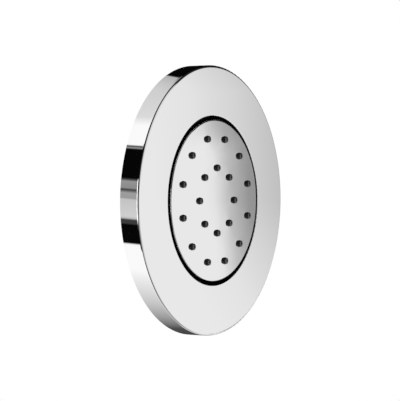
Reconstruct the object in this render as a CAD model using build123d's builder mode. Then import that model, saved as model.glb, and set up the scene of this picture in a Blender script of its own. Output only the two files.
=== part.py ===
from build123d import *
import math
import os

os.makedirs("parts", exist_ok=True)

# Millimetres. The wall is the plane y = 0, the jet points along -Y and +Z is up.
# Every turned profile is drawn as (radius, y) and revolved about the Y axis.


def hexagon_corner(across_flats):
    """Distance of a hexagon's corners from its centre."""
    return across_flats / math.sqrt(3)


# Named clearances
slide_gap = 0.1
thread_gap = 0.05
seal_gap = 0.02
ball_gap = 0.05
groove_side_gap = 0.25

# How far a cut runs past the piece
cut_over = 1.0

# Escutcheon
escutcheon_radius = 60.5
escutcheon_depth = 9.5
escutcheon_edge = 1.1
escutcheon_wall = 2.0
opening_radius = 38.0
opening_edge = 0.3
lip_depth = 4.0
lip_wall = 1.5
sleeve_wall = 2.0

# Housing in the wall
collar_room = 0.7
collar_wall = 2.8
collar_chamfer = 0.6
flange_room = 3.5
flange_thickness = 3.0
cup_wall = 2.4
cup_round = 1.5
nut_room = 2.5
tilt_room = 8.2
screw_inset = 6.0
screw_hole_radius = 2.2
screw_count = 4
screw_recess_radius = 4.0
screw_recess_depth = 0.8
rib_count = 8
rib_width = 2.0
rib_inset = 4.0
gasket_inset = 0.9
gasket_width = 2.4
gasket_depth = 1.2

# Rubber rings, given by the thickness of their section
escutcheon_ring_section = 1.5
stem_ring_section = 1.3
chamber_ring_section = 1.3
regulator_ring_section = 1.2

# Ball joint: the ball's centre is the pivot of the spray head
pivot_setback = 4.3
ball_radius = 7.5
neck_radius = 4.2
water_radius = 3.0
slide_ring_thickness = 1.35
slide_ring_front_angle = 96.0
slide_ring_rear_angle = 124.0
seal_rear_angle = 84.0
socket_rear_angle = 137.0
hub_wall = 1.7
ball_room = 0.35
nut_wall = 1.8
nut_length = 10.3
nut_lip = 0.5
nut_chamfer = 1.2
hexagon_chamfer = 0.3

# Spray head
head_gap = 1.85
head_edge = 0.5
dome_radius = 600.0
dome_height = 1.5
face_thickness = 2.3
skirt_wall = 1.75
skirt_overhang = 0.3
mat_thickness = 1.1
retainer_thickness = 1.2
chamber_depth = 1.5
shell_thickness = 1.6
shell_ring_width = 2.9
pillar_count = 4
pillar_radius = 1.5
spanner_hole_count = 3
spanner_hole_radius = 1.5
spanner_hole_depth = 0.8
spanner_inset = 9.35

# Nozzles
outer_ring_inset = 7.85
outer_ring_count = 12
outer_ring_start = 15.0
ring_spacing = 13.7
inner_ring_count = 8
inner_ring_start = 0.0
nozzle_radius = 1.6
nozzle_tip_radius = 1.4
nozzle_tip_round = 0.3
nozzle_height = 1.15
nozzle_bore_radius = 0.4
nozzle_inlet_radius = 1.0
nozzle_bore_length = 1.6
retainer_hole_radius = 1.2
retainer_opening_radius = 6.5

# Inlet
stem_room = 1.55
stem_shoulder_radius = 6.8
stem_shoulder_length = 1.2
stem_flats = 11.0
tail_radius = 6.0
tail_length = 7.4
tail_room = 0.3
shank_flange_thickness = 2.0
shank_flange_width = 2.0
shank_neck_radius = 4.0
shank_step = 1.0
washer_thickness = 1.0
washer_width = 3.5
washer_room = 1.3
bulkhead_radius = 12.0
bulkhead_spare = 0.4
lock_nut_thickness = 5.0
lock_nut_wall = 2.95
inlet_radius = 10.4775
inlet_length = 10.4
inlet_chamfer = 1.0
inlet_bore_radius = 7.2
regulator_length = 4.0
regulator_hole_radius = 0.7
regulator_hole_inset = 3.5
regulator_hole_count = 8
filter_length = 2.0
filter_plate = 0.8
filter_rim = 1.2
filter_hole_radius = 0.55
filter_hole_pitch = 1.9
filter_ring_count = 2

# Radii and depths that follow from the sizes above, from the front to the inlet
front_y = -escutcheon_depth
plate_back_y = front_y + escutcheon_wall
lip_back_y = front_y + lip_depth
lip_outer = opening_radius + lip_wall
collar_inner = lip_outer + collar_room
collar_radius = collar_inner + collar_wall
collar_front_y = plate_back_y + collar_room
sleeve_inner = collar_radius + slide_gap
sleeve_outer = sleeve_inner + sleeve_wall
rim_inner = escutcheon_radius - escutcheon_wall
flange_front_y = -flange_thickness
flange_radius = rim_inner - flange_room
screw_circle_radius = flange_radius - screw_inset
gasket_outer = flange_radius - gasket_inset
gasket_inner = gasket_outer - gasket_width
escutcheon_ring_y = (collar_front_y + flange_front_y) / 2
escutcheon_ring_floor = sleeve_inner - escutcheon_ring_section - 2 * seal_gap
head_radius = opening_radius - head_gap
dome_apex_y = front_y - dome_height
face_back_y = dome_apex_y + face_thickness
mat_back_y = face_back_y + mat_thickness
retainer_back_y = mat_back_y + retainer_thickness
shell_front_y = retainer_back_y + chamber_depth
shell_back_y = shell_front_y + shell_thickness
skirt_rear_y = shell_back_y + skirt_overhang
skirt_inner = head_radius - skirt_wall
shell_radius = skirt_inner - thread_gap
mat_radius = skirt_inner - shell_ring_width / 2
spanner_circle_radius = shell_radius - spanner_inset
outer_ring_radius = head_radius - outer_ring_inset
inner_ring_radius = outer_ring_radius - ring_spacing
pillar_circle_radius = (outer_ring_radius + inner_ring_radius) / 2
chamber_ring_floor = skirt_inner - chamber_ring_section - 2 * seal_gap
chamber_ring_y = retainer_back_y + chamber_ring_section / 2 + 2 * groove_side_gap
nozzle_hole_radius = nozzle_radius + thread_gap
pivot_y = shell_back_y + pivot_setback
socket_radius = ball_radius + ball_gap
slide_outer = socket_radius + slide_ring_thickness
nut_socket = slide_outer + ball_gap
seal_outer = nut_socket - ball_gap
hub_bore = nut_socket
hub_radius = hub_bore + hub_wall
hub_opening = math.sqrt(ball_radius ** 2 - pivot_setback ** 2) + ball_room
nut_bore = hub_radius + thread_gap
nut_across_flats = 2 * (nut_bore + nut_wall)
nut_rear_y = pivot_y - nut_socket * math.cos(math.radians(socket_rear_angle)) + nut_lip
nut_front_y = nut_rear_y - nut_length
stem_shoulder_y = nut_rear_y + stem_room
shank_front_y = stem_shoulder_y + stem_shoulder_length
tail_rear_y = shank_front_y + tail_length
stem_ring_y = (shank_front_y + tail_rear_y + stem_ring_section) / 2
shank_bore = tail_radius + thread_gap
stem_ring_floor = shank_bore - stem_ring_section - 2 * seal_gap
shank_across_flats = 2 * (bulkhead_radius + shank_flange_width / 2)
shank_seat_y = shank_front_y + shank_flange_thickness
washer_inner = bulkhead_radius + slide_gap
washer_outer = washer_inner + washer_width
well_radius = max(hexagon_corner(nut_across_flats) + nut_room, washer_outer + washer_room)
cup_floor_y = skirt_rear_y + tilt_room
cup_back_y = cup_floor_y + cup_wall
cup_outer = collar_inner + cup_wall
well_floor_y = shank_seat_y + washer_thickness
well_back_y = well_floor_y + cup_wall
well_outer = well_radius + cup_wall
lock_nut_rear_y = well_back_y + lock_nut_thickness
lock_nut_bore = bulkhead_radius + thread_gap
lock_nut_across_flats = 2 * (lock_nut_bore + lock_nut_wall)
inlet_shoulder_y = lock_nut_rear_y + bulkhead_spare
inlet_rear_y = inlet_shoulder_y + inlet_length
shank_step_y = tail_rear_y + tail_room
regulator_front_y = shank_step_y + shank_step
regulator_rear_y = regulator_front_y + regulator_length
regulator_ring_y = (regulator_front_y + regulator_rear_y) / 2
filter_rear_y = regulator_rear_y + filter_length
cartridge_radius = inlet_bore_radius - slide_gap
regulator_hole_circle = cartridge_radius - regulator_hole_inset
regulator_ring_floor = inlet_bore_radius - regulator_ring_section - 2 * seal_gap
nozzle_rings = (
    (outer_ring_radius, outer_ring_count, outer_ring_start),
    (inner_ring_radius, inner_ring_count, inner_ring_start),
)


def dome_y(radius):
    """Height of the domed face at a distance from the axis."""
    return dome_apex_y + dome_radius - math.sqrt(dome_radius ** 2 - radius ** 2)


def on_sphere(radius, angle):
    """Point of a sphere about the pivot, the angle counted in degrees from the front."""
    turn = math.radians(angle)
    return (radius * math.sin(turn), pivot_y - radius * math.cos(turn))


def circle_points(radius, count, start):
    """Points (x, z) on a circle about the axis, the angle counted in degrees from the top."""
    points = []
    for i in range(count):
        turn = math.radians(start + 360 * i / count)
        points.append((radius * math.sin(turn), radius * math.cos(turn)))
    return points


def facing(y):
    """Drawing plane across the axis at y, whose normal points forward, away from the wall."""
    return Plane(origin=(0, y, 0), x_dir=(1, 0, 0), z_dir=(0, -1, 0))


def turned(*points, mode=Mode.ADD):
    """Turn a closed outline of (radius, y) points about the Y axis, to add it or to take it away."""
    with BuildSketch(Plane.XY) as section:
        with BuildLine():
            Polyline(*points, close=True)
        make_face()
    revolve(section.sketch, axis=Axis.Y, mode=mode)


def box_outline(inner, outer, y0, y1):
    """Corners of a rectangular section between two radii and two depths."""
    return ((inner, y0), (outer, y0), (outer, y1), (inner, y1))


def o_ring(inner_radius, section, y):
    """Add a rubber ring that lies on a groove floor."""
    with BuildSketch(Plane.XY) as ring_section:
        with Locations((inner_radius + seal_gap + section / 2, y)):
            Circle(section / 2)
    revolve(ring_section.sketch, axis=Axis.Y)


def ring_groove(floor, surface, section, y):
    """Cut the groove of a rubber ring into an outer wall."""
    half = section / 2 + groove_side_gap
    turned(*box_outline(floor, surface + cut_over, y - half, y + half), mode=Mode.SUBTRACT)


def hexagon_band(across_flats, inner, y0, y1, chamfer, turned_y):
    """Add a hexagonal body whose corners are turned down on the face at turned_y."""
    with BuildSketch(facing(y1)) as hexagon:
        RegularPolygon(across_flats / 2, 6, major_radius=False)
        if inner > 0:
            Circle(inner, mode=Mode.SUBTRACT)
    extrude(hexagon.sketch, amount=y1 - y0)
    out = cut_over if turned_y > (y0 + y1) / 2 else -cut_over
    start = across_flats / 2 - chamfer
    reach = hexagon_corner(across_flats) + cut_over
    drop = (reach - start) * math.tan(math.radians(30))
    turned(
        (start, turned_y),
        (start, turned_y + out),
        (reach, turned_y + out),
        (reach, turned_y - math.copysign(drop, out)),
        mode=Mode.SUBTRACT,
    )


def edges_at(piece, y):
    """Edges of a piece that lie in the plane across the axis at y, smallest circle first."""
    return piece.edges().filter_by_position(Axis.Y, y - seal_gap, y + seal_gap).sort_by(SortBy.RADIUS)


nozzle_points = []
for ring_radius, ring_count, ring_start in nozzle_rings:
    nozzle_points += circle_points(ring_radius, ring_count, ring_start)


# Escutcheon: rim, front plate, return lip round the opening and push-fit sleeve in one piece
with BuildPart() as escutcheon:
    turned(
        (opening_radius, front_y),
        (escutcheon_radius, front_y),
        (escutcheon_radius, 0),
        (rim_inner, 0),
        (rim_inner, plate_back_y),
        (sleeve_outer, plate_back_y),
        (sleeve_outer, flange_front_y),
        (sleeve_inner, flange_front_y),
        (sleeve_inner, plate_back_y),
        (lip_outer, plate_back_y),
        (lip_outer, lip_back_y),
        (opening_radius, lip_back_y),
    )
    fillet(edges_at(escutcheon, front_y)[-1], escutcheon_edge)
    fillet(edges_at(escutcheon, front_y)[0], opening_edge)
escutcheon.part.label = "escutcheon"

with BuildPart() as escutcheon_o_ring:
    o_ring(escutcheon_ring_floor, escutcheon_ring_section, escutcheon_ring_y)
escutcheon_o_ring.part.label = "escutcheon_o_ring"

# Housing: collar, screw flange, cup and well in one moulding with ribs behind
with BuildPart() as housing:
    turned(
        (collar_inner, collar_front_y),
        (collar_radius, collar_front_y),
        (collar_radius, flange_front_y),
        (flange_radius, flange_front_y),
        (flange_radius, 0),
        (cup_outer, 0),
        (cup_outer, cup_back_y),
        (well_outer, cup_back_y),
        (well_outer, well_back_y),
        (washer_inner, well_back_y),
        (washer_inner, well_floor_y),
        (well_radius, well_floor_y),
        (well_radius, cup_floor_y),
        (collar_inner, cup_floor_y),
    )
    chamfer(edges_at(housing, collar_front_y)[-1], collar_chamfer)
    fillet(edges_at(housing, cup_back_y)[-1], cup_round)
    ring_groove(escutcheon_ring_floor, collar_radius, escutcheon_ring_section, escutcheon_ring_y)
    turned(*box_outline(gasket_inner, gasket_outer, -gasket_depth, cut_over), mode=Mode.SUBTRACT)
    with BuildSketch(facing(0)):
        with PolarLocations(screw_circle_radius, screw_count, start_angle=180 / screw_count):
            Circle(screw_hole_radius)
    extrude(amount=flange_thickness, mode=Mode.SUBTRACT)
    with BuildSketch(facing(flange_front_y)):
        with PolarLocations(screw_circle_radius, screw_count, start_angle=180 / screw_count):
            Circle(screw_recess_radius)
    extrude(amount=-screw_recess_depth, mode=Mode.SUBTRACT)
    rib_root = cup_wall / 2
    rib_reach = cup_outer - rib_inset
    rib_top_y = well_back_y - rib_width
    for i in range(rib_count):
        with BuildSketch(Plane.XY.rotated((0, 360 * (i + 0.5) / rib_count, 0))):
            with BuildLine():
                Polyline(
                    (well_outer - rib_root, cup_back_y - rib_root),
                    (rib_reach, cup_back_y - rib_root),
                    (rib_reach, cup_back_y + rib_root),
                    (well_outer, rib_top_y),
                    (well_outer - rib_root, rib_top_y),
                    close=True,
                )
            make_face()
        extrude(amount=rib_width / 2, both=True)
housing.part.label = "housing"

with BuildPart() as wall_gasket:
    turned(*box_outline(gasket_inner, gasket_outer, -gasket_depth, 0))
wall_gasket.part.label = "wall_gasket"

# Ball stem: ball, neck, shoulder with two spanner flats and a tail with a ring groove
with BuildPart() as ball_stem:
    mouth_y = pivot_y - math.sqrt(ball_radius ** 2 - water_radius ** 2)
    neck_y = pivot_y + math.sqrt(ball_radius ** 2 - neck_radius ** 2)
    with BuildSketch(Plane.XY):
        with BuildLine():
            ThreePointArc((water_radius, mouth_y), (ball_radius, pivot_y), (neck_radius, neck_y))
            Polyline(
                (neck_radius, neck_y),
                (neck_radius, stem_shoulder_y),
                (stem_shoulder_radius, stem_shoulder_y),
                (stem_shoulder_radius, shank_front_y),
                (tail_radius, shank_front_y),
                (tail_radius, tail_rear_y),
                (water_radius, tail_rear_y),
                (water_radius, mouth_y),
            )
        make_face()
    revolve(axis=Axis.Y)
    ring_groove(stem_ring_floor, tail_radius, stem_ring_section, stem_ring_y)
    flat_depth = stem_shoulder_radius - stem_flats / 2
    for side in (-1, 1):
        with BuildSketch(facing(shank_front_y)):
            with Locations((side * (stem_flats + flat_depth) / 2, 0)):
                Rectangle(flat_depth, 2 * stem_shoulder_radius)
        extrude(amount=shank_front_y - stem_shoulder_y, mode=Mode.SUBTRACT)
ball_stem.part.label = "ball_stem"

with BuildPart() as stem_o_ring:
    o_ring(stem_ring_floor, stem_ring_section, stem_ring_y)
stem_o_ring.part.label = "stem_o_ring"

# Inlet shank: hexagonal flange, bulkhead thread and G 1/2 inlet thread, with a stepped bore
with BuildPart() as inlet_shank:
    hexagon_band(shank_across_flats, 0, shank_front_y, shank_seat_y, hexagon_chamfer, shank_front_y)
    turned(
        (0, shank_front_y),
        (bulkhead_radius, shank_front_y),
        (bulkhead_radius, inlet_shoulder_y),
        (inlet_radius, inlet_shoulder_y),
        (inlet_radius, inlet_rear_y - inlet_chamfer),
        (inlet_radius - inlet_chamfer, inlet_rear_y),
        (0, inlet_rear_y),
    )
    turned(
        (0, shank_front_y - cut_over),
        (shank_bore, shank_front_y - cut_over),
        (shank_bore, shank_step_y),
        (shank_neck_radius, shank_step_y),
        (shank_neck_radius, regulator_front_y),
        (inlet_bore_radius, regulator_front_y),
        (inlet_bore_radius, inlet_rear_y + cut_over),
        (0, inlet_rear_y + cut_over),
        mode=Mode.SUBTRACT,
    )
inlet_shank.part.label = "inlet_shank"

with BuildPart() as shank_washer:
    turned(*box_outline(washer_inner, washer_outer, shank_seat_y, well_floor_y))
shank_washer.part.label = "shank_washer"

with BuildPart() as lock_nut:
    hexagon_band(
        lock_nut_across_flats, lock_nut_bore, well_back_y, lock_nut_rear_y, hexagon_chamfer, lock_nut_rear_y
    )
lock_nut.part.label = "lock_nut"

# Flow regulator: cartridge with a ring of orifices and a seal groove
with BuildPart() as flow_regulator:
    turned(*box_outline(0, cartridge_radius, regulator_front_y, regulator_rear_y))
    ring_groove(regulator_ring_floor, cartridge_radius, regulator_ring_section, regulator_ring_y)
    with BuildSketch(facing(regulator_rear_y)):
        with PolarLocations(regulator_hole_circle, regulator_hole_count):
            Circle(regulator_hole_radius)
    extrude(amount=regulator_length, mode=Mode.SUBTRACT)
flow_regulator.part.label = "flow_regulator"

with BuildPart() as regulator_o_ring:
    o_ring(regulator_ring_floor, regulator_ring_section, regulator_ring_y)
regulator_o_ring.part.label = "regulator_o_ring"

# Inlet filter: rim and perforated plate in one moulding
with BuildPart() as inlet_filter:
    plate_front_y = filter_rear_y - filter_plate
    turned(
        (0, plate_front_y),
        (cartridge_radius - filter_rim, plate_front_y),
        (cartridge_radius - filter_rim, regulator_rear_y),
        (cartridge_radius, regulator_rear_y),
        (cartridge_radius, filter_rear_y),
        (0, filter_rear_y),
    )
    with BuildSketch(facing(filter_rear_y)):
        Circle(filter_hole_radius)
        for i in range(filter_ring_count):
            with Locations(*circle_points(filter_hole_pitch * (i + 1), 6 * (i + 1), 0)):
                Circle(filter_hole_radius)
    extrude(amount=filter_plate, mode=Mode.SUBTRACT)
inlet_filter.part.label = "inlet_filter"

# Slide ring: a zone of a hollow sphere behind the ball's widest circle
with BuildPart() as slide_ring:
    middle_angle = (slide_ring_front_angle + slide_ring_rear_angle) / 2
    with BuildSketch(Plane.XY):
        with BuildLine():
            ThreePointArc(
                on_sphere(socket_radius, slide_ring_front_angle),
                on_sphere(socket_radius, middle_angle),
                on_sphere(socket_radius, slide_ring_rear_angle),
            )
            Line(
                on_sphere(socket_radius, slide_ring_rear_angle),
                on_sphere(slide_outer, slide_ring_rear_angle),
            )
            ThreePointArc(
                on_sphere(slide_outer, slide_ring_rear_angle),
                on_sphere(slide_outer, middle_angle),
                on_sphere(slide_outer, slide_ring_front_angle),
            )
            Line(
                on_sphere(slide_outer, slide_ring_front_angle),
                on_sphere(socket_radius, slide_ring_front_angle),
            )
        make_face()
    revolve(axis=Axis.Y)
slide_ring.part.label = "slide_ring"

# Ball seal: rubber ring in the hub with a hollow face on the ball
with BuildPart() as ball_seal:
    seal_rear = on_sphere(socket_radius, seal_rear_angle)
    front_cosine = (pivot_y - shell_back_y) / socket_radius
    seal_front_angle = math.degrees(math.acos(front_cosine))
    seal_front = on_sphere(socket_radius, seal_front_angle)
    with BuildSketch(Plane.XY):
        with BuildLine():
            ThreePointArc(
                seal_front,
                on_sphere(socket_radius, (seal_front_angle + seal_rear_angle) / 2),
                seal_rear,
            )
            Polyline(
                seal_rear,
                (seal_outer, seal_rear[1]),
                (seal_outer, seal_front[1]),
                seal_front,
            )
        make_face()
    revolve(axis=Axis.Y)
ball_seal.part.label = "ball_seal"

# Spray face: domed cap with a skirt, drilled for the nozzles
with BuildPart() as spray_face:
    turned(
        (0, dome_apex_y - cut_over),
        (head_radius, dome_apex_y - cut_over),
        (head_radius, skirt_rear_y),
        (skirt_inner, skirt_rear_y),
        (skirt_inner, face_back_y),
        (0, face_back_y),
    )
    with Locations((0, dome_apex_y + dome_radius, 0)):
        Sphere(dome_radius, mode=Mode.INTERSECT)
    fillet(edges_at(spray_face, dome_y(head_radius)), head_edge)
    with BuildSketch(facing(face_back_y)):
        with Locations(*nozzle_points):
            Circle(nozzle_hole_radius)
    extrude(amount=face_thickness + cut_over, mode=Mode.SUBTRACT)
spray_face.part.label = "spray_face"

# Nozzle mat: disc with twenty hollow nozzles that stand through the face
with BuildPart() as nozzle_mat:
    turned(*box_outline(0, mat_radius, face_back_y, mat_back_y))
    for ring_radius, ring_count, ring_start in nozzle_rings:
        ring_points = circle_points(ring_radius, ring_count, ring_start)
        ring_face_y = dome_y(ring_radius)
        ring_tip_y = ring_face_y - nozzle_height
        taper_angle = math.degrees(math.atan((nozzle_radius - nozzle_tip_radius) / nozzle_height))
        bore_back_y = ring_tip_y + nozzle_bore_length
        funnel_length = mat_back_y - bore_back_y
        funnel_angle = math.degrees(math.atan((nozzle_inlet_radius - nozzle_bore_radius) / funnel_length))
        with BuildSketch(facing(face_back_y)):
            with Locations(*ring_points):
                Circle(nozzle_radius)
        extrude(amount=face_back_y - ring_face_y)
        with BuildSketch(facing(ring_face_y)):
            with Locations(*ring_points):
                Circle(nozzle_radius)
        extrude(amount=nozzle_height, taper=taper_angle)
        fillet(edges_at(nozzle_mat, ring_tip_y), nozzle_tip_round)
        with BuildSketch(facing(bore_back_y)):
            with Locations(*ring_points):
                Circle(nozzle_bore_radius)
        extrude(amount=nozzle_bore_length, mode=Mode.SUBTRACT)
        with BuildSketch(facing(mat_back_y)):
            with Locations(*ring_points):
                Circle(nozzle_inlet_radius)
        extrude(amount=funnel_length, taper=funnel_angle, mode=Mode.SUBTRACT)
nozzle_mat.part.label = "nozzle_mat"

with BuildPart() as mat_retainer:
    turned(*box_outline(retainer_opening_radius, mat_radius, mat_back_y, retainer_back_y))
    with BuildSketch(facing(retainer_back_y)):
        with Locations(*nozzle_points):
            Circle(retainer_hole_radius)
    extrude(amount=retainer_thickness, mode=Mode.SUBTRACT)
mat_retainer.part.label = "mat_retainer"

# Back shell: plate, edge ring, pillars that hold the retainer, and the hub of the ball socket
with BuildPart() as back_shell:
    turned(
        (shell_radius - shell_ring_width, retainer_back_y),
        (shell_radius, retainer_back_y),
        (shell_radius, shell_back_y),
        (hub_radius, shell_back_y),
        (hub_radius, pivot_y),
        (hub_bore, pivot_y),
        (hub_bore, shell_back_y),
        (hub_opening, shell_back_y),
        (hub_opening, shell_front_y),
        (shell_radius - shell_ring_width, shell_front_y),
    )
    ring_groove(chamber_ring_floor, shell_radius, chamber_ring_section, chamber_ring_y)
    with BuildSketch(facing(shell_front_y)):
        with PolarLocations(pillar_circle_radius, pillar_count, start_angle=180 / pillar_count):
            Circle(pillar_radius)
    extrude(amount=chamber_depth)
    with BuildSketch(facing(shell_back_y)):
        with PolarLocations(spanner_circle_radius, spanner_hole_count, start_angle=90):
            Circle(spanner_hole_radius)
    extrude(amount=spanner_hole_depth, mode=Mode.SUBTRACT)
back_shell.part.label = "back_shell"

with BuildPart() as chamber_o_ring:
    o_ring(chamber_ring_floor, chamber_ring_section, chamber_ring_y)
chamber_o_ring.part.label = "chamber_o_ring"

# Swivel nut: hexagonal outside, thread for the hub and a hollow sphere behind the slide ring
with BuildPart() as swivel_nut:
    hexagon_band(nut_across_flats, 0, nut_front_y, nut_rear_y, nut_chamfer, nut_rear_y)
    socket_rear = on_sphere(nut_socket, socket_rear_angle)
    with BuildSketch(Plane.XY):
        with BuildLine():
            ThreePointArc(
                on_sphere(nut_socket, 90),
                on_sphere(nut_socket, (90 + socket_rear_angle) / 2),
                socket_rear,
            )
            Polyline(
                socket_rear,
                (socket_rear[0], nut_rear_y + cut_over),
                (0, nut_rear_y + cut_over),
                (0, nut_front_y - cut_over),
                (nut_bore, nut_front_y - cut_over),
                (nut_bore, pivot_y),
                on_sphere(nut_socket, 90),
            )
        make_face()
    revolve(axis=Axis.Y, mode=Mode.SUBTRACT)
swivel_nut.part.label = "swivel_nut"

for piece in (
    escutcheon,
    escutcheon_o_ring,
    housing,
    wall_gasket,
    ball_stem,
    stem_o_ring,
    inlet_shank,
    shank_washer,
    lock_nut,
    flow_regulator,
    regulator_o_ring,
    inlet_filter,
    slide_ring,
    ball_seal,
    spray_face,
    nozzle_mat,
    mat_retainer,
    back_shell,
    chamber_o_ring,
    swivel_nut,
):
    export_step(piece.part, f"parts/{piece.part.label}.step")
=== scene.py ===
import math

import bpy
import numpy as np
from bpy.props import FloatProperty, FloatVectorProperty, PointerProperty
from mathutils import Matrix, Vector


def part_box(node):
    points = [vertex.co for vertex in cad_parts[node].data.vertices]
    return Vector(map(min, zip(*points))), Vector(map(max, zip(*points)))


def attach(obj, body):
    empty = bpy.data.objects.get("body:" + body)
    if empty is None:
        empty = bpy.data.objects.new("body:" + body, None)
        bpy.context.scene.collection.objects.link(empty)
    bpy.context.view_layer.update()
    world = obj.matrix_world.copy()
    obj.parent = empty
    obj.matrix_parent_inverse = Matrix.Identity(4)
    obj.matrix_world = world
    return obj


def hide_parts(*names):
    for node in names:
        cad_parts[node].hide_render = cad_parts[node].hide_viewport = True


bl_info = {
    "name": "Shower body jet",
    "version": (1, 0, 0),
    "blender": (4, 5, 0),
    "location": "View3D > Sidebar > Body jet",
    "description": "Finishes, threaded inlet and photo stage of a round wall body jet",
    "category": "Object",
}

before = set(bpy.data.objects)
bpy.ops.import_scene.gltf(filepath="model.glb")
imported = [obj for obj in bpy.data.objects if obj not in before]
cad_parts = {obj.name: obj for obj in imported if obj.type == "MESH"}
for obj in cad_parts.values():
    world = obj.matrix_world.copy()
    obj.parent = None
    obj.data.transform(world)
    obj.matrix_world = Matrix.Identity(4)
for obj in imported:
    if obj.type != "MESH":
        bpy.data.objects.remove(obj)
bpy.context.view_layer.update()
node_slots = {name: node.material_slots[0].material.name for name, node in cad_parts.items()}

# A millimetre in metres and a right angle in degrees.
MM = 0.001
RIGHT_ANGLE = 90

# Planes in which a distance from the middle is measured: across the jet's axis, and along the floor.
FACE_PLANE = (1, 0, 1)
FLOOR_PLANE = (1, 1, 0)

# Wall of the escutcheon's opening, where the chrome's colour is darkened with painted shade: how far it
# fades in from the front of the groove, and how much light it takes away.
OPENING_RADIUS = 38 * MM
OPENING_FRONT = -9.3 * MM
OPENING_BAND = 0.1 * MM
PAINTED_SHADE_FADE = 0.3 * MM
PAINTED_SHADE_STRENGTH = 0.96

# Rings of nozzles: radius, count and start angle.
NOZZLE_RINGS = (
    (28.3 * MM, 12, math.radians(15)),
    (14.6 * MM, 8, 0.0),
)

# How fast a crowned nozzle tip falls off with the square of the distance from its axis, per metre.
TIP_CROWN = 110

# Specular level of the silicone.
NOZZLE_SHINE = 0.9

# Stretch of the noise that clouds of unequal polish use.
CLOUD_LOW = 0.35
CLOUD_HIGH = 0.68

# Clouds in a moulding's gloss: their scale, and how far they go from its roughness.
GLOSS_CLOUDS = 180
GLOSS_SPREAD = 0.06

# Scale of a moulding's coarse grain as a share of its fine grain's.
COARSE_GRAIN = 0.06

# Foam: cells per metre, relief, roughness, and the shade between two distances from a cell's middle.
FOAM_CELLS = 1600
FOAM_RELIEF = 0.15 * MM
FOAM_ROUGHNESS = 0.9
FOAM_SHADE = (0.1, 0.6, 0.55, 1.2)

# Height of the tool marks on the brass.
BRASS_RELIEF = 0.03 * MM

# Grid of the threaded shank: steps round the axis, and rows along the hexagon and the two threads.
SHANK_TURNS = 192
FLANGE_ROWS = 7
NUT_ROWS = 74
INLET_ROWS = 88

# Slope of the hexagon's bevel, turns of relief at the inlet's shoulder, and the angle of a sharp edge.
BEVEL_ANGLE = math.radians(30)
RELIEF_TURNS = 0.5
SHARP_ANGLE = math.radians(30)

# Floor and camera.
FLOOR_SIDES = 96
FLOOR_FADE = 0.5
FLOOR_ROUGHNESS = 0.9
SENSOR_WIDTH = 36
CLIP_START = 0.01

# Brightness of the studio that the polished metal mirrors, 1 being white, by angle in degrees.
# In front of the jet it is a panel by plan angle: -90 is straight ahead of the jet and 0 its right.
FRONT_PANEL = (
    (-33.8, 0.89),
    (-31.7, 0.82),
    (-30, 0.59),
    (-25.5, 0.335),
    (-15, 0.2),
    (0, 0.12),
)

# Lean of the panel's edge: overall, and what is added below its foot and above its head.
# Foot and head are heights in degrees.
PANEL_LEAN = 0.06
PANEL_FOOT = -1
FOOT_LEAN = 0.45
PANEL_HEAD = 2.5
HEAD_LEAN = 0.75

# Towards the camera's side the panel loses light, also by plan angle.
CAMERA_SIDE = (
    (-175, 0.02),
    (-155, 0.12),
    (-140, 0.3),
    (-115, 0.58),
    (-90, 0.85),
    (-64, 1.0),
)

# Height of the edge of a dark hood above the panel, in degrees above HOOD_LOW, by plan angle.
HOOD_LOW = -8
HOOD_EDGE = (
    (-119, 0),
    (-107, 33),
    (-85, 54),
    (-55, 54),
    (-43, 20),
    (-30, 17.5),
    (-20, 16),
)

# Beside and behind the jet it goes by roll angle round the jet's axis: 0 is its left, 90 up, -90 down.
REAR_CARDS = (
    (-180, 0.03),
    (-139, 0.08),
    (-121, 0.3),
    (-94, 0.65),
    (-71, 0.9),
    (-61, 1.05),
    (-38, 1.05),
    (-37.4, 0.002),
    (-20.9, 0.002),
    (-20.3, 0.05),
    (-16, 0.05),
    (-15.3, 0.7),
    (0.3, 0.6),
    (1.3, 0.36),
    (6.8, 0.38),
    (7.2, 0.02),
    (8.4, 0.02),
    (8.8, 0.28),
    (16.4, 0.33),
    (17, 0.002),
    (44.7, 0.002),
    (45, 0.34),
    (45.7, 0.34),
    (46, 0.01),
    (47, 0.01),
    (47.4, 1.05),
    (67, 1.05),
    (76, 0.77),
    (104, 0.68),
    (129.8, 0.48),
    (131.2, 0.002),
    (180, 0.002),
)

# Middle of the strip lamp on the left, and the most by which an edge between two cards leans, in degrees.
STRIP_MIDDLE = 0.5
SLANT_LIMIT = 0.9

# Runs of light by height: from one angle to another in degrees, and the level at each.
PANEL_TOP = (3, 5, 1.0, 0.88)
HOOD_SHADE = (-3, 3, 0.0, 0.92)
FLOOR_SHADE = (-52, -36, 0.6, 0.0)
FILL_TOP = (10, 16, 1.0, 0.0)

# Runs by roll angle, in the same form. A card's edge leans about a depth, which is an angle too.
CARD_DEPTH = (80, 120, math.radians(34), math.radians(32.96))
CARD_LEAN = (80, 120, -2.2, -15.5)
STRIP_ENDS = (15, 17, 1.0, 0.0)
TOP_SHADE = (112, 117, 0.0, 1.0)

# Runs by a part of the direction, from -1 to 1: Y goes back from the jet and X to its right.
REAR_START = (-0.1, -0.03, 0.0, 1.0)
STRIP_DEPTH = (0.3, 0.36, 2.1, 0.0)
FILL_DEPTH = (0.3, 0.38, 0.7, 0.0)
FILL_SIDE = (0.3, 0.5, 0.0, 1.0)
TOP_SHADE_DEPTH = (0.44, 0.5, 1.0, 0.0)


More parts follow.
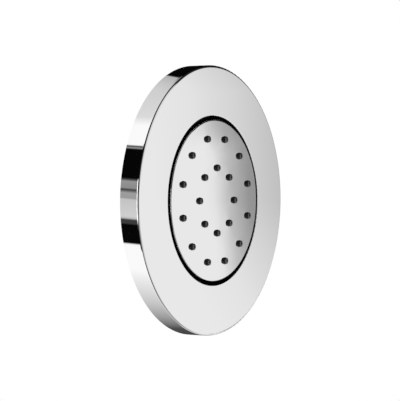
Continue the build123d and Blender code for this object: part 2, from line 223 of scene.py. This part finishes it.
class BodyJetStage(bpy.types.PropertyGroup):
    """Camera, floor and lamp."""

    azimuth: FloatProperty(
        name="Azimuth", description="Camera's turn round the jet from straight ahead", subtype="ANGLE",
        default=math.radians(-58.25),
    )
    elevation: FloatProperty(
        name="Elevation", description="Camera's height angle above the jet's axis", subtype="ANGLE",
        default=math.radians(0.97),
    )
    distance: FloatProperty(
        name="Distance", description="Camera to the middle of the front", unit="LENGTH",
        default=0.8023,
    )
    lens: FloatProperty(
        name="Lens", description="Focal length on a 36 mm sensor", unit="CAMERA",
        default=160.8,
    )
    aim_left: FloatProperty(
        name="Aim", description="How far left of the jet's middle the camera looks", unit="LENGTH",
        default=0.00653,
    )
    floor_drop: FloatProperty(
        name="Floor drop", description="Floor below the jet's axis", unit="LENGTH",
        default=0.16,
    )
    floor_radius: FloatProperty(
        name="Floor radius", description="Radius of the round floor", unit="LENGTH",
        default=0.32,
    )
    floor_colour: FloatVectorProperty(
        name="Floor colour", description="Colour of the floor", subtype="COLOR", size=4,
        default=(0.9, 0.9, 0.9, 1),
    )
    lamp_power: FloatProperty(
        name="Lamp", description="Power of the soft lamp", unit="POWER",
        default=1.6,
    )
    lamp_size: FloatProperty(
        name="Lamp size", description="Side of the square lamp", unit="LENGTH",
        default=0.5,
    )
    lamp_place: FloatVectorProperty(
        name="Lamp place", description="Where the lamp hangs", subtype="TRANSLATION", size=3,
        default=(-0.35, -0.55, 0.5),
    )
    room_light: FloatProperty(
        name="Room light", description="Brightness of the plain room light", subtype="FACTOR",
        default=0.85,
    )


class BodyJetFinishes(bpy.types.PropertyGroup):
    """Colours of the materials."""

    chrome: FloatVectorProperty(
        name="Chrome", description="Reflection colour of the chrome", subtype="COLOR", size=4,
        default=(0.905, 0.905, 0.906, 1),
    )
    silicone: FloatVectorProperty(
        name="Silicone", description="Colour of the nozzles", subtype="COLOR", size=4,
        default=(0.011, 0.011, 0.012, 1),
    )
    plastic: FloatVectorProperty(
        name="Plastic", description="Colour of the mouldings", subtype="COLOR", size=4,
        default=(0.018, 0.018, 0.02, 1),
    )
    rubber: FloatVectorProperty(
        name="Rubber", description="Colour of the seals", subtype="COLOR", size=4,
        default=(0.014, 0.014, 0.014, 1),
    )
    foam: FloatVectorProperty(
        name="Foam", description="Colour of the wall gasket", subtype="COLOR", size=4,
        default=(0.05, 0.05, 0.052, 1),
    )
    brass: FloatVectorProperty(
        name="Brass", description="Colour of the turned fittings", subtype="COLOR", size=4,
        default=(0.72, 0.53, 0.25, 1),
    )
    acetal: FloatVectorProperty(
        name="Acetal", description="Colour of the inlet cartridge", subtype="COLOR", size=4,
        default=(0.8, 0.79, 0.75, 1),
    )


class BodyJetInlet(bpy.types.PropertyGroup):
    """Sizes of the threaded shank."""

    crest: FloatProperty(
        name="Inlet radius", description="Crest of the inlet thread", unit="LENGTH",
        default=10.4775 * MM,
    )
    pitch: FloatProperty(
        name="Inlet pitch", description="Pitch of the inlet thread", unit="LENGTH",
        default=1.814 * MM,
    )
    depth: FloatProperty(
        name="Thread depth", description="Depth of the inlet thread", unit="LENGTH",
        default=1.16 * MM,
    )
    length: FloatProperty(
        name="Inlet length", description="Length of the inlet thread", unit="LENGTH",
        default=10.4 * MM,
    )
    chamfer: FloatProperty(
        name="Chamfer", description="Chamfer of the inlet's end", unit="LENGTH",
        default=1.0 * MM,
    )
    bulkhead: FloatProperty(
        name="Bulkhead radius", description="Crest of the nut's thread", unit="LENGTH",
        default=12 * MM,
    )
    fine_pitch: FloatProperty(
        name="Nut pitch", description="Pitch of the nut's thread", unit="LENGTH",
        default=1.5 * MM,
    )
    fine_depth: FloatProperty(
        name="Nut depth", description="Depth of the nut's thread", unit="LENGTH",
        default=0.9 * MM,
    )
    flange: FloatProperty(
        name="Flange", description="Thickness of the hexagon", unit="LENGTH",
        default=2 * MM,
    )
    flats: FloatProperty(
        name="Flats", description="Width across the hexagon's flats", unit="LENGTH",
        default=26 * MM,
    )
    bevel: FloatProperty(
        name="Bevel", description="Turned bevel of the hexagon", unit="LENGTH",
        default=0.3 * MM,
    )
    bore: FloatProperty(
        name="Inlet bore", description="Radius of the inlet's bore", unit="LENGTH",
        default=7.2 * MM,
    )
    throat: FloatProperty(
        name="Throat", description="Radius of the narrow bore", unit="LENGTH",
        default=4 * MM,
    )
    throat_length: FloatProperty(
        name="Throat length", description="Length of the narrow bore", unit="LENGTH",
        default=1 * MM,
    )
    socket: FloatProperty(
        name="Socket", description="Radius of the stem's socket", unit="LENGTH",
        default=6.05 * MM,
    )
    socket_depth: FloatProperty(
        name="Socket depth", description="Depth of the stem's socket", unit="LENGTH",
        default=7.7 * MM,
    )


def add_node(tree, kind, inputs=None, **settings):
    """Add a shader node; an input is a value or the socket that feeds it."""
    made = tree.nodes.new(kind)
    for name, value in settings.items():
        setattr(made, name, value)
    for name, value in (inputs or {}).items():
        if isinstance(value, bpy.types.NodeSocket):
            tree.links.new(value, made.inputs[name])
        else:
            made.inputs[name].default_value = value
    return made


def calculate(tree, operation, *values):
    """Add a maths node and return its result."""
    return add_node(tree, "ShaderNodeMath", dict(enumerate(values)), operation=operation).outputs[0]


def remap(tree, value, low, high, to_low, to_high):
    """Carry a value from one range to another, held at both ends."""
    spans = {"Value": value, "From Min": low, "From Max": high, "To Min": to_low, "To Max": to_high}
    return add_node(tree, "ShaderNodeMapRange", spans, interpolation_type="SMOOTHSTEP").outputs[0]


def distance_out(tree, position, plane):
    """Distance from the middle, measured in one plane."""
    flat = add_node(tree, "ShaderNodeVectorMath", {0: position, 1: plane}, operation="MULTIPLY").outputs[0]
    return add_node(tree, "ShaderNodeVectorMath", {0: flat}, operation="LENGTH").outputs["Value"]


def noise(tree, position, scale, detail):
    """Add a noise texture and return its value."""
    settings = {"Vector": position, "Scale": scale, "Detail": detail}
    return add_node(tree, "ShaderNodeTexNoise", settings).outputs["Fac"]


def new_group(name, inputs, outputs):
    """Start a shader node group whose first input is the position on the piece."""
    tree = bpy.data.node_groups.new(name, "ShaderNodeTree")
    tree.interface.new_socket("Position", in_out="INPUT", socket_type="NodeSocketVector")
    for label, default in inputs:
        socket = tree.interface.new_socket(label, in_out="INPUT", socket_type="NodeSocketFloat")
        socket.default_value = default
    for label in outputs:
        tree.interface.new_socket(label, in_out="OUTPUT", socket_type="NodeSocketFloat")
    return tree, tree.nodes.new("NodeGroupInput").outputs, tree.nodes.new("NodeGroupOutput").inputs


def mottle_group():
    """Soft clouds between two values, for a surface that isn't equally smooth all over."""
    inputs = (("Scale", 60), ("Low", 0.02), ("High", 0.05))
    tree, given, result = new_group("mottle", inputs, ("Value",))
    cloud = noise(tree, given["Position"], given["Scale"], 5)
    value = remap(tree, cloud, CLOUD_LOW, CLOUD_HIGH, given["Low"], given["High"])
    tree.links.new(value, result["Value"])
    return tree


def grain_group():
    """Fine grain of a moulding: a height for the bump and a shade for the colour."""
    inputs = (("Scale", 2500), ("Contrast", 0.2))
    tree, given, result = new_group("moulded grain", inputs, ("Height", "Shade"))
    fine = noise(tree, given["Position"], given["Scale"], 3)
    coarse = noise(tree, given["Position"], calculate(tree, "MULTIPLY", given["Scale"], COARSE_GRAIN), 3)
    both = calculate(tree, "ADD", fine, coarse)
    spread = calculate(tree, "MULTIPLY", calculate(tree, "SUBTRACT", both, 1.0), given["Contrast"])
    tree.links.new(fine, result["Height"])
    tree.links.new(calculate(tree, "ADD", spread, 1.0), result["Shade"])
    return tree


def turned_group():
    """Marks of a lathe tool: noise that changes with radius and depth but not round the axis."""
    tree, given, result = new_group("turned marks", (("Scale", 3000),), ("Height",))
    place = add_node(tree, "ShaderNodeSeparateXYZ", {"Vector": given["Position"]}).outputs
    radius = distance_out(tree, given["Position"], FACE_PLANE)
    section = add_node(tree, "ShaderNodeCombineXYZ", {"X": radius, "Y": place["Y"]}).outputs[0]
    tree.links.new(noise(tree, section, given["Scale"], 2), result["Height"])
    return tree


def shared_group(name, build):
    """Take a shader group that exists already, or build it."""
    return bpy.data.node_groups.get(name) or build()


def start_material(name):
    """Start a material: its tree, its shader and the position on the piece."""
    material = bpy.data.materials.new(name)
    material.use_nodes = True
    tree = material.node_tree
    shader = tree.nodes["Principled BSDF"]
    position = add_node(tree, "ShaderNodeTexCoord").outputs["Object"]
    return material, tree, shader, position


def place_group(tree, group, position, **values):
    """Place a shader group in a material with its own values."""
    placed = add_node(tree, "ShaderNodeGroup", node_tree=group)
    tree.links.new(position, placed.inputs["Position"])
    for label, value in values.items():
        placed.inputs[label].default_value = value
    return placed.outputs


def mottle(tree, position, scale, low, high):
    """Place soft clouds between two values and return their value."""
    group = shared_group("mottle", mottle_group)
    return place_group(tree, group, position, Scale=scale, Low=low, High=high)["Value"]


def shade(tree, colour, factor):
    """Multiply a colour by a value that changes over the surface."""
    mixed = add_node(tree, "ShaderNodeVectorMath", {0: tuple(colour)[:3]}, operation="SCALE")
    tree.links.new(factor, mixed.inputs["Scale"])
    return mixed.outputs[0]


def bump(tree, height, distance, target):
    """Raise a surface by a height, for a shader or under another bump."""
    raised = add_node(tree, "ShaderNodeBump", {"Height": height, "Distance": distance, "Strength": 1.0})
    tree.links.new(raised.outputs["Normal"], target.inputs["Normal"])


def chrome_material(colour):
    """Polished chrome: a mirror whose polish is a little uneven, with painted shade on the wall of the
    opening.
    """
    material, tree, shader, position = start_material("polished_chrome")
    place = add_node(tree, "ShaderNodeSeparateXYZ", {"Vector": position}).outputs
    radius = distance_out(tree, position, FACE_PLANE)
    # Painted shade: the colour darkens deeper down the wall of the opening, where the groove lies in shadow.
    off_wall = calculate(tree, "ABSOLUTE", calculate(tree, "SUBTRACT", radius, OPENING_RADIUS))
    on_wall = calculate(tree, "LESS_THAN", off_wall, OPENING_BAND)
    depth = remap(tree, place["Y"], OPENING_FRONT, OPENING_FRONT + PAINTED_SHADE_FADE, 0.0, PAINTED_SHADE_STRENGTH)
    painted_shade_factor = calculate(tree, "SUBTRACT", 1.0, calculate(tree, "MULTIPLY", on_wall, depth))
    tree.links.new(shade(tree, colour, painted_shade_factor), shader.inputs["Base Color"])
    shader.inputs["Metallic"].default_value = 1
    polish = mottle(tree, position, scale=70, low=0.008, high=0.02)
    tree.links.new(polish, shader.inputs["Roughness"])
    return material


def moulded_material(name, colour, roughness, grain, contrast, relief):
    """Moulded rubber or plastic: fine grain in its height, its shade and its gloss."""
    material, tree, shader, position = start_material(name)
    group = shared_group("moulded grain", grain_group)
    surface = place_group(tree, group, position, Scale=grain, Contrast=contrast)
    tree.links.new(shade(tree, colour, surface["Shade"]), shader.inputs["Base Color"])
    gloss = mottle(tree, position, GLOSS_CLOUDS, roughness - GLOSS_SPREAD, roughness + GLOSS_SPREAD)
    tree.links.new(gloss, shader.inputs["Roughness"])
    bump(tree, surface["Height"], relief, shader)
    return material


def tip_crown(tree, position):
    """Height of the crowned nozzle tips: it falls with the square of the distance from the nearest axis.
    The angle round the jet is wrapped, so that one nozzle of a ring stands for all of them."""
    place = add_node(tree, "ShaderNodeSeparateXYZ", {"Vector": position}).outputs
    around = calculate(tree, "ARCTAN2", place["Z"], place["X"])
    radius = distance_out(tree, position, FACE_PLANE)
    squares = []
    for ring_radius, count, start in NOZZLE_RINGS:
        half = math.pi / count
        turn = calculate(tree, "WRAP", calculate(tree, "SUBTRACT", around, start), half, -half)
        along = calculate(tree, "MULTIPLY_ADD", radius, calculate(tree, "COSINE", turn), -ring_radius)
        aside = calculate(tree, "MULTIPLY", radius, calculate(tree, "SINE", turn))
        square = calculate(tree, "MULTIPLY", along, along)
        squares.append(calculate(tree, "MULTIPLY_ADD", aside, aside, square))
    return calculate(tree, "MULTIPLY", calculate(tree, "MINIMUM", *squares), -TIP_CROWN)


def nozzle_material(colour):
    """Glossy silicone whose nozzle tips are slightly crowned, under the grain."""
    material = moulded_material(
        "nozzle_silicone", colour, roughness=0.12, grain=3500, contrast=0.5, relief=0.001 * MM)
    tree = material.node_tree
    shader = tree.nodes["Principled BSDF"]
    shader.inputs["Specular IOR Level"].default_value = NOZZLE_SHINE
    grain = shader.inputs["Normal"].links[0].from_node
    position = add_node(tree, "ShaderNodeTexCoord").outputs["Object"]
    bump(tree, tip_crown(tree, position), 1.0, grain)
    return material


def foam_material(colour):
    """Closed-cell foam: small round cells in height and shade."""
    material, tree, shader, position = start_material("gasket_foam")
    cellular = add_node(tree, "ShaderNodeTexVoronoi", {"Vector": position, "Scale": FOAM_CELLS})
    cells = cellular.outputs["Distance"]
    tree.links.new(shade(tree, colour, remap(tree, cells, *FOAM_SHADE)), shader.inputs["Base Color"])
    shader.inputs["Roughness"].default_value = FOAM_ROUGHNESS
    bump(tree, cells, FOAM_RELIEF, shader)
    return material


def brass_material(colour):
    """Turned brass: tool marks round the axis and a skin that has dulled in patches."""
    material, tree, shader, position = start_material("turned_brass")
    shader.inputs["Metallic"].default_value = 1
    tarnish = mottle(tree, position, scale=220, low=1.05, high=0.8)
    tree.links.new(shade(tree, colour, tarnish), shader.inputs["Base Color"])
    dulling = mottle(tree, position, scale=150, low=0.2, high=0.36)
    tree.links.new(dulling, shader.inputs["Roughness"])
    marks = place_group(tree, shared_group("turned marks", turned_group), position, Scale=4000)
    bump(tree, marks["Height"], BRASS_RELIEF, shader)
    return material


def finish_nodes(slot, material):
    """Give a finish to every CAD node of one material slot."""
    for name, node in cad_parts.items():
        if node_slots[name] == slot:
            node.material_slots[0].material = material


def skin(name, points, material):
    """Close a grid of points both ways into one surface and turn its faces outwards."""
    rows, columns = points.shape[:2]
    index = np.arange(rows * columns).reshape(rows, columns)
    below = np.roll(index, -1, axis=0)
    faces = np.stack((index, np.roll(index, -1, axis=1), np.roll(below, -1, axis=1), below), axis=-1)
    faces = faces.reshape(-1, 4)
    flat = points.reshape(-1, 3)
    corners = flat[faces]
    facing = np.cross(corners[:, 2] - corners[:, 0], corners[:, 3] - corners[:, 1])
    if np.sum(facing * corners.sum(axis=1)) < 0:
        faces = faces[:, ::-1]
    mesh = bpy.data.meshes.new(name)
    mesh.from_pydata(flat.tolist(), [], faces.tolist())
    mesh.shade_smooth()
    mesh.set_sharp_from_angle(angle=SHARP_ANGLE)
    mesh.materials.append(material)
    made = bpy.data.objects.new(name, mesh)
    bpy.context.scene.collection.objects.link(made)
    return made


def thread(crest, depth, pitch, y, turn, start):
    """Radius of a screw thread: a cosine along the axis that climbs one pitch a turn,
    and reaches its full depth over the first pitch."""
    wave = 0.5 - 0.5 * np.cos(2 * np.pi * (y / pitch) - turn)
    return crest - depth * wave * np.clip((y - start) / pitch, 0, 1)


def shank_points(size, front, rear):
    """Threaded shank: for each turn angle, an outline that runs along the outside and back through the bore.
    The hexagon's radius is half its width over the cosine of the angle from the middle of a flat,
    cut by the bevel's cone. The threads follow their own formula, and the inlet's is cut by the relief
    at its shoulder and by the chamfer's cone at its end."""
    turn = np.linspace(0, 2 * np.pi, SHANK_TURNS, endpoint=False)
    seat = front + size.flange
    shoulder = rear - size.length
    step = front + size.socket_depth
    throat_end = step + size.throat_length
    half = size.flats / 2
    face = half - size.bevel
    flange_y = np.linspace(front, seat, FLANGE_ROWS)[:, None]
    hexagon = half / np.cos((turn % (np.pi / 3)) - np.pi / 6)
    flange = np.minimum(hexagon, face + (flange_y - front) / math.tan(BEVEL_ANGLE))
    nut_y = np.linspace(seat, shoulder, NUT_ROWS)[:, None]
    nut = thread(size.bulkhead, size.fine_depth, size.fine_pitch, nut_y, turn, seat)
    inlet_y = np.linspace(shoulder, rear, INLET_ROWS)[:, None]
    ridge = thread(size.crest, size.depth, size.pitch, inlet_y, turn, shoulder)
    cone = size.crest - np.maximum(0, inlet_y - (rear - size.chamfer))
    relief = np.where(inlet_y < shoulder + RELIEF_TURNS * size.pitch, size.crest - size.depth, size.crest)
    inlet = np.minimum(np.minimum(ridge, cone), relief)
    bore_y = np.array((rear, throat_end, throat_end, step, step))[:, None]
    bore = np.array((size.bore, size.bore, size.throat, size.throat, size.socket))[:, None]
    end_y = np.array((front, front))[:, None]
    end = np.array((size.socket, face))[:, None]
    y = np.concatenate((end_y, flange_y, nut_y, inlet_y, bore_y))
    radius = np.concatenate([stretch + 0 * turn for stretch in (end, flange, nut, inlet, bore)])
    return np.stack((radius * np.cos(turn), y + 0 * radius, radius * np.sin(turn)), axis=-1)


class BODYJET_OT_chrome(bpy.types.Operator):
    """Polish the escutcheon and the spray face"""

    bl_idname = "body_jet.chrome"
    bl_label = "Chrome pieces"

    def execute(self, context):
        finish_nodes("chrome", chrome_material(context.scene.body_jet_finishes.chrome))
        return {"FINISHED"}


class BODYJET_OT_nozzles(bpy.types.Operator):
    """Finish the silicone nozzle mat"""

    bl_idname = "body_jet.nozzles"
    bl_label = "Nozzles"

    def execute(self, context):
        finish_nodes("silicone", nozzle_material(context.scene.body_jet_finishes.silicone))
        return {"FINISHED"}


class BODYJET_OT_mouldings(bpy.types.Operator):
    """Finish the black mouldings and the inlet cartridge"""

    bl_idname = "body_jet.mouldings"
    bl_label = "Plastic mouldings"

    def execute(self, context):
        colours = context.scene.body_jet_finishes
        plastic = moulded_material(
            "black_moulding", colours.plastic, roughness=0.5, grain=2200, contrast=0.3, relief=0.05 * MM)
        acetal = moulded_material(
            "white_acetal", colours.acetal, roughness=0.38, grain=1500, contrast=0.08, relief=0.02 * MM)
        finish_nodes("black_plastic", plastic)
        finish_nodes("acetal", acetal)
        return {"FINISHED"}


class BODYJET_OT_seals(bpy.types.Operator):
    """Finish the rubber seals and the foam gasket"""

    bl_idname = "body_jet.seals"
    bl_label = "Seals"

    def execute(self, context):
        colours = context.scene.body_jet_finishes
        rubber = moulded_material(
            "seal_rubber", colours.rubber, roughness=0.6, grain=4000, contrast=0.4, relief=0.02 * MM)
        finish_nodes("rubber", rubber)
        finish_nodes("foam", foam_material(colours.foam))
        return {"FINISHED"}


class BODYJET_OT_fittings(bpy.types.Operator):
    """Finish the brass fittings and cut the threads of the inlet shank"""

    bl_idname = "body_jet.fittings"
    bl_label = "Brass fittings"

    def execute(self, context):
        brass = brass_material(context.scene.body_jet_finishes.brass)
        finish_nodes("brass", brass)
        low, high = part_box("inlet_shank")
        shank = skin("threaded_shank", shank_points(context.scene.body_jet_inlet, low.y, high.y), brass)
        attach(shank, "wall_unit")
        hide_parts("inlet_shank")
        return {"FINISHED"}


def studio_ramp(tree, angle, levels):
    """Brightness by angle: straight runs between the listed levels."""
    place = calculate(tree, "MULTIPLY_ADD", angle, 0.5 / math.pi, 0.5)
    made = add_node(tree, "ShaderNodeValToRGB", {"Fac": place})
    stops = made.color_ramp.elements
    while len(stops) < len(levels):
        stops.new(1.0)
    for stop, (degrees, level) in zip(stops, levels):
        stop.position = degrees / 360 + 0.5
        stop.color = (level, level, level, 1)
    return made.outputs["Color"]


def fade(tree, angle, run):
    """Go from one level to another between two angles in degrees."""
    start, end, *levels = run
    return remap(tree, angle, math.radians(start), math.radians(end), *levels)


def blend(tree, factor, a, b):
    """Go from one value to another."""
    return add_node(tree, "ShaderNodeMix", {0: factor, 2: a, 3: b}).outputs[0]


def front_light(tree, plan, rise):
    """Panel in front of the jet with a leaning edge, a dark hood above it and a dimmer floor below it."""
    below = calculate(tree, "MINIMUM", calculate(tree, "SUBTRACT", rise, math.radians(PANEL_FOOT)), 0.0)
    above = calculate(tree, "MAXIMUM", calculate(tree, "SUBTRACT", rise, math.radians(PANEL_HEAD)), 0.0)
    edge = calculate(tree, "MULTIPLY_ADD", rise, PANEL_LEAN, plan)
    edge = calculate(tree, "MULTIPLY_ADD", above, HEAD_LEAN, edge)
    edge = calculate(tree, "MULTIPLY_ADD", below, FOOT_LEAN, edge)
    side = calculate(tree, "MULTIPLY", studio_ramp(tree, plan, CAMERA_SIDE), fade(tree, rise, PANEL_TOP))
    panel = calculate(tree, "MULTIPLY", studio_ramp(tree, edge, FRONT_PANEL), side)
    hood_edge = studio_ramp(tree, plan, [(degrees, height / RIGHT_ANGLE) for degrees, height in HOOD_EDGE])
    over_low = calculate(tree, "SUBTRACT", rise, math.radians(HOOD_LOW))
    over_edge = calculate(tree, "MULTIPLY_ADD", hood_edge, -math.radians(RIGHT_ANGLE), over_low)
    dark = calculate(tree, "MAXIMUM", fade(tree, over_edge, HOOD_SHADE), fade(tree, rise, FLOOR_SHADE))
    return calculate(tree, "MULTIPLY", panel, calculate(tree, "SUBTRACT", 1.0, dark))


def rear_light(tree, way, rise, roll):
    """Cards beside and behind the jet, a white strip lamp on its left and a soft fill card on its right.
    The edges between the cards lean with the depth, and a shade past the top hides their front part."""
    depth = calculate(tree, "SUBTRACT", calculate(tree, "ARCSINE", way["Y"]), fade(tree, roll, CARD_DEPTH))
    limit = math.radians(SLANT_LIMIT)
    slant = calculate(tree, "MAXIMUM", calculate(tree, "MINIMUM", depth, limit), -limit)
    edge = calculate(tree, "MULTIPLY_ADD", slant, fade(tree, roll, CARD_LEAN), roll)
    past_top = fade(tree, roll, TOP_SHADE)
    hidden = calculate(tree, "MULTIPLY", past_top, remap(tree, way["Y"], *TOP_SHADE_DEPTH))
    shown = calculate(tree, "SUBTRACT", 1.0, hidden)
    cards = calculate(tree, "MULTIPLY", studio_ramp(tree, edge, REAR_CARDS), shown)
    off_strip = calculate(tree, "ABSOLUTE", calculate(tree, "SUBTRACT", roll, math.radians(STRIP_MIDDLE)))
    strip = fade(tree, off_strip, STRIP_ENDS)
    strip = calculate(tree, "MULTIPLY", strip, remap(tree, way["Y"], *STRIP_DEPTH))
    fill = calculate(tree, "MULTIPLY", fade(tree, rise, FILL_TOP), remap(tree, way["X"], *FILL_SIDE))
    fill = calculate(tree, "MULTIPLY", fill, remap(tree, way["Y"], *FILL_DEPTH))
    return calculate(tree, "MAXIMUM", cards, calculate(tree, "MAXIMUM", strip, fill))


def build_world(room_light):
    """White to the camera, plain room light for matt surfaces, and light and dark cards for mirrors."""
    world = bpy.data.worlds.new("studio")
    world.use_nodes = True
    tree = world.node_tree
    direction = add_node(tree, "ShaderNodeTexCoord").outputs["Generated"]
    way = add_node(tree, "ShaderNodeSeparateXYZ", {"Vector": direction}).outputs
    plan = calculate(tree, "ARCTAN2", way["Y"], way["X"])
    rise = calculate(tree, "ARCSINE", way["Z"])
    roll = calculate(tree, "ARCTAN2", way["Z"], calculate(tree, "MULTIPLY", way["X"], -1.0))
    behind = remap(tree, way["Y"], *REAR_START)
    studio = blend(tree, behind, front_light(tree, plan, rise), rear_light(tree, way, rise, roll))
    ray = add_node(tree, "ShaderNodeLightPath").outputs
    seen = calculate(tree, "MAXIMUM", ray["Is Camera Ray"], ray["Is Transmission Ray"])
    light = blend(tree, seen, blend(tree, ray["Is Glossy Ray"], room_light, studio), 1.0)
    tree.links.new(light, tree.nodes["Background"].inputs["Color"])
    bpy.context.scene.world = world


def build_floor(stage):
    """Pale round floor that fades out to its edge."""
    radius = stage.floor_radius
    material, tree, shader, position = start_material("floor")
    shader.inputs["Base Color"].default_value = stage.floor_colour
    shader.inputs["Roughness"].default_value = FLOOR_ROUGHNESS
    out = distance_out(tree, position, FLOOR_PLANE)
    tree.links.new(remap(tree, out, FLOOR_FADE * radius, radius, 1.0, 0.0), shader.inputs["Alpha"])
    turn = np.linspace(0, 2 * np.pi, FLOOR_SIDES, endpoint=False)
    height = np.full_like(turn, -stage.floor_drop)
    ring = np.stack((radius * np.cos(turn), radius * np.sin(turn), height), axis=-1)
    mesh = bpy.data.meshes.new("floor")
    mesh.from_pydata(ring.tolist(), [], [list(range(len(ring)))])
    mesh.materials.append(material)
    floor = bpy.data.objects.new("floor", mesh)
    floor.visible_glossy = False
    bpy.context.scene.collection.objects.link(floor)


def build_lamp(stage):
    """Soft lamp above the front left, for the shadows of matt surfaces."""
    lamp = bpy.data.lights.new("soft_lamp", "AREA")
    lamp.energy = stage.lamp_power
    lamp.size = stage.lamp_size
    placed = bpy.data.objects.new("soft_lamp", lamp)
    placed.location = stage.lamp_place
    placed.rotation_euler = (-placed.location).to_track_quat("-Z", "Y").to_euler()
    placed.visible_glossy = False
    bpy.context.scene.collection.objects.link(placed)


def build_camera(stage):
    """Camera at the photograph's viewing angle."""
    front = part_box("escutcheon")[0].y
    middle = Vector((0, front, 0))
    turn = stage.azimuth
    rise = stage.elevation
    back = Vector((math.sin(turn) * math.cos(rise), -math.cos(turn) * math.cos(rise), math.sin(rise)))
    left = Vector((0, 0, 1)).cross(-back).normalized()
    place = middle + back * stage.distance
    aim = middle + left * stage.aim_left
    camera = bpy.data.cameras.new("camera")
    camera.lens = stage.lens
    camera.sensor_width = SENSOR_WIDTH
    camera.clip_start = CLIP_START
    placed = bpy.data.objects.new("camera", camera)
    placed.location = place
    placed.rotation_euler = (aim - place).to_track_quat("-Z", "Y").to_euler()
    bpy.context.scene.collection.objects.link(placed)
    bpy.context.scene.camera = placed


class BODYJET_OT_stage(bpy.types.Operator):
    """Set up the studio, the floor, the lamp and the camera"""

    bl_idname = "body_jet.stage"
    bl_label = "Photo stage"

    def execute(self, context):
        stage = context.scene.body_jet_stage
        build_world(stage.room_light)
        build_floor(stage)
        build_lamp(stage)
        build_camera(stage)
        context.scene.view_settings.view_transform = "Standard"
        return {"FINISHED"}


class BODYJET_PT_sidebar(bpy.types.Panel):
    """Steps of the body jet, in order"""

    bl_idname = "BODYJET_PT_sidebar"
    bl_label = "Body jet"
    bl_space_type = "VIEW_3D"
    bl_region_type = "UI"
    bl_category = "Body jet"

    def draw(self, context):
        for step in STEPS:
            self.layout.operator(step.bl_idname)
        for group in SETTINGS:
            settings = getattr(context.scene, group)
            for name in settings.__annotations__:
                self.layout.prop(settings, name)


STEPS = (
    BODYJET_OT_chrome,
    BODYJET_OT_nozzles,
    BODYJET_OT_mouldings,
    BODYJET_OT_seals,
    BODYJET_OT_fittings,
    BODYJET_OT_stage,
)
SETTINGS = {
    "body_jet_finishes": BodyJetFinishes,
    "body_jet_inlet": BodyJetInlet,
    "body_jet_stage": BodyJetStage,
}


def register():
    """Add the settings, the steps and the panel to Blender."""
    for group, kind in SETTINGS.items():
        bpy.utils.register_class(kind)
        setattr(bpy.types.Scene, group, PointerProperty(type=kind))
    for kind in (*STEPS, BODYJET_PT_sidebar):
        bpy.utils.register_class(kind)


def unregister():
    """Take them out again."""
    for kind in (BODYJET_PT_sidebar, *reversed(STEPS)):
        bpy.utils.unregister_class(kind)
    for group, kind in SETTINGS.items():
        delattr(bpy.types.Scene, group)
        bpy.utils.unregister_class(kind)


def main():
    """Run every step in order."""
    register()
    bpy.ops.body_jet.chrome()
    bpy.ops.body_jet.nozzles()
    bpy.ops.body_jet.mouldings()
    bpy.ops.body_jet.seals()
    bpy.ops.body_jet.fittings()
    bpy.ops.body_jet.stage()


if __name__ == "__main__":
    main()
